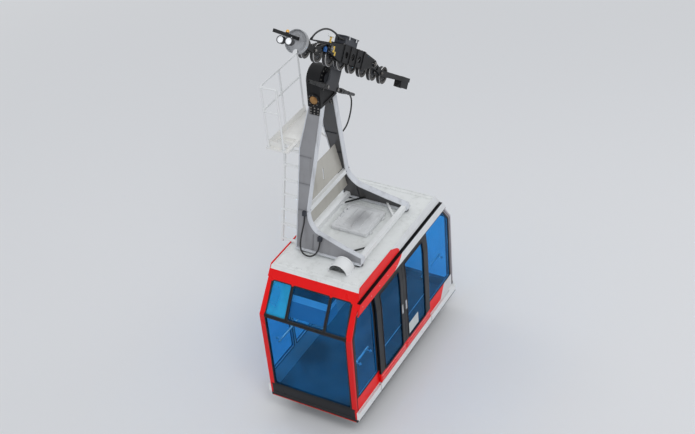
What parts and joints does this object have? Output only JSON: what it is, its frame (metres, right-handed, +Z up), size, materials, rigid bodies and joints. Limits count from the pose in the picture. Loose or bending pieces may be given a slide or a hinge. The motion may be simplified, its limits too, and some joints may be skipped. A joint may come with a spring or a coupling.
{
  "type": "aerial cable car cabin",
  "caption": "Cable car cabin with folded glazed walls and sliding doors, on a gooseneck hanger with a ladder and platform, under an eight-wheel rope carriage.",
  "frame": {"origin": "centre of the track rope, straight above the middle of the cabin", "axes": "+Z up, +X downhill along the cabin, -Y the side with the sliding doors; the rope falls 37 degrees towards +X"},
  "size_m": [3.635, 1.836, 6.5524],
  "materials": {
    "red_paint": "gloss",
    "roof_white": "satin",
    "hatch_grey": "satin",
    "hanger_paint": "satin",
    "panel_beige": "satin",
    "frame_white": "satin",
    "black_paint": "satin",
    "carriage_paint": "satin",
    "box_grey": "satin",
    "zinc": "satin",
    "wheel_liner": "matte",
    "mount_rubber": "matte",
    "glass": "gloss",
    "floor_grey": "matte",
    "rail_steel": "satin",
    "cable_black": "matte",
    "beacon_yellow": "gloss"
  },
  "bodies": {
    "carriage": {"main_beam": "carriage_paint", "yoke": "carriage_paint", "control_box": "box_grey", "haul_sockets": "zinc", "haul_sleeves": "zinc", "carriage_hose": "cable_black"},
    "rocker_near": {"rocker_near": "carriage_paint", "end_shield": "carriage_paint", "rope_guide_near": "carriage_paint", "lamps": "carriage_paint", "beacon": "beacon_yellow"},
    "rocker_far": {"rocker_far": "carriage_paint", "rope_guide_far": "carriage_paint"},
    "cabin": {"underframe": "black_paint", "floor_panel": "floor_grey", "near_end_frame": "red_paint", "far_end_frame": "red_paint", "end_glass": "glass", "roof_panel": "roof_white", "door_side_wall": "red_paint", "ladder_side_wall": "red_paint", "side_glass": "glass", "sills": "frame_white", "roof_edges": "frame_white", "door_hood": "red_paint", "vent_cowl": "roof_white", "handrails": "rail_steel", "near_leg": "hanger_paint", "far_leg": "hanger_paint", "roof_mounts": "mount_rubber", "base_beams": "frame_white", "tie_beam": "frame_white", "web_panels": "panel_beige", "hanger_head": "carriage_paint", "ladder": "zinc", "platform": "frame_white", "railing": "frame_white", "cable_boxes": "box_grey", "overhead_console": "box_grey", "roof_cable": "cable_black", "hanger_cable": "cable_black"},
    "door_near": {"door_leaf_near": "red_paint", "door_glass_near": "glass"},
    "door_far": {"door_leaf_far": "red_paint", "door_glass_far": "glass"},
    "hatch": {"roof_hatch": "hatch_grey"},
    "bogie_1": {"bogie_1": "carriage_paint"},
    "bogie_2": {"bogie_2": "carriage_paint"},
    "bogie_3": {"bogie_3": "carriage_paint"},
    "bogie_4": {"bogie_4": "carriage_paint"},
    "wheel_1": {"wheel_1": "wheel_liner"},
    "wheel_2": {"wheel_2": "wheel_liner"},
    "wheel_3": {"wheel_3": "wheel_liner"},
    "wheel_4": {"wheel_4": "wheel_liner"},
    "wheel_5": {"wheel_5": "wheel_liner"},
    "wheel_6": {"wheel_6": "wheel_liner"},
    "wheel_7": {"wheel_7": "wheel_liner"},
    "wheel_8": {"wheel_8": "wheel_liner"}
  },
  "joints": [
    {"name": "hanger_swing", "type": "hinge", "parent": "carriage", "child": "cabin", "pos_m": [0, 0.345, -0.18], "axis": [0, 1, 0], "range_deg": [-25, 45]},
    {"name": "rocker_near_tilt", "type": "hinge", "parent": "carriage", "child": "rocker_near", "pos_m": [-0.34407, 0, 0.55979], "axis": [0, 1, 0], "range_deg": [-5, 5]},
    {"name": "rocker_far_tilt", "type": "hinge", "parent": "carriage", "child": "rocker_far", "pos_m": [0.80597, 0, -0.30683], "axis": [0, 1, 0], "range_deg": [-5, 5]},
    {"name": "bogie_1_tilt", "type": "hinge", "parent": "rocker_near", "child": "bogie_1", "pos_m": [-0.68574, 0, 0.70456], "axis": [0, 1, 0], "range_deg": [-6, 6]},
    {"name": "bogie_2_tilt", "type": "hinge", "parent": "rocker_near", "child": "bogie_2", "pos_m": [-0.11072, 0, 0.27126], "axis": [0, 1, 0], "range_deg": [-6, 6]},
    {"name": "bogie_3_tilt", "type": "hinge", "parent": "rocker_far", "child": "bogie_3", "pos_m": [0.4643, 0, -0.16205], "axis": [0, 1, 0], "range_deg": [-6, 6]},
    {"name": "bogie_4_tilt", "type": "hinge", "parent": "rocker_far", "child": "bogie_4", "pos_m": [1.03931, 0, -0.59536], "axis": [0, 1, 0], "range_deg": [-6, 6]},
    {"name": "wheel_1_turn", "type": "hinge", "parent": "bogie_1", "child": "wheel_1", "pos_m": [-0.84033, 0, 0.79851], "axis": [0, 1, 0], "continuous": true},
    {"name": "wheel_2_turn", "type": "hinge", "parent": "bogie_1", "child": "wheel_2", "pos_m": [-0.55282, 0, 0.58186], "axis": [0, 1, 0], "continuous": true},
    {"name": "wheel_3_turn", "type": "hinge", "parent": "bogie_2", "child": "wheel_3", "pos_m": [-0.26531, 0, 0.36521], "axis": [0, 1, 0], "continuous": true},
    {"name": "wheel_4_turn", "type": "hinge", "parent": "bogie_2", "child": "wheel_4", "pos_m": [0.0222, 0, 0.14855], "axis": [0, 1, 0], "continuous": true},
    {"name": "wheel_5_turn", "type": "hinge", "parent": "bogie_3", "child": "wheel_5", "pos_m": [0.30971, 0, -0.0681], "axis": [0, 1, 0], "continuous": true},
    {"name": "wheel_6_turn", "type": "hinge", "parent": "bogie_3", "child": "wheel_6", "pos_m": [0.59722, 0, -0.28475], "axis": [0, 1, 0], "continuous": true},
    {"name": "wheel_7_turn", "type": "hinge", "parent": "bogie_4", "child": "wheel_7", "pos_m": [0.88472, 0, -0.50141], "axis": [0, 1, 0], "continuous": true},
    {"name": "wheel_8_turn", "type": "hinge", "parent": "bogie_4", "child": "wheel_8", "pos_m": [1.17223, 0, -0.71806], "axis": [0, 1, 0], "continuous": true},
    {"name": "door_near_slide", "type": "slide", "parent": "cabin", "child": "door_near", "axis": [-1, 0, 0], "range_m": [0, 0.55]},
    {"name": "door_far_slide", "type": "slide", "parent": "cabin", "child": "door_far", "axis": [1, 0, 0], "range_m": [0, 0.55]},
    {"name": "hatch_tilt", "type": "hinge", "parent": "cabin", "child": "hatch", "pos_m": [0.2, -0.281, -2.81], "axis": [1, 0, 0], "range_deg": [0, 95]}
  ],
  "couplings": [
    {"joint": "door_far_slide", "follows": "door_near_slide", "ratio": 1}
  ]
}
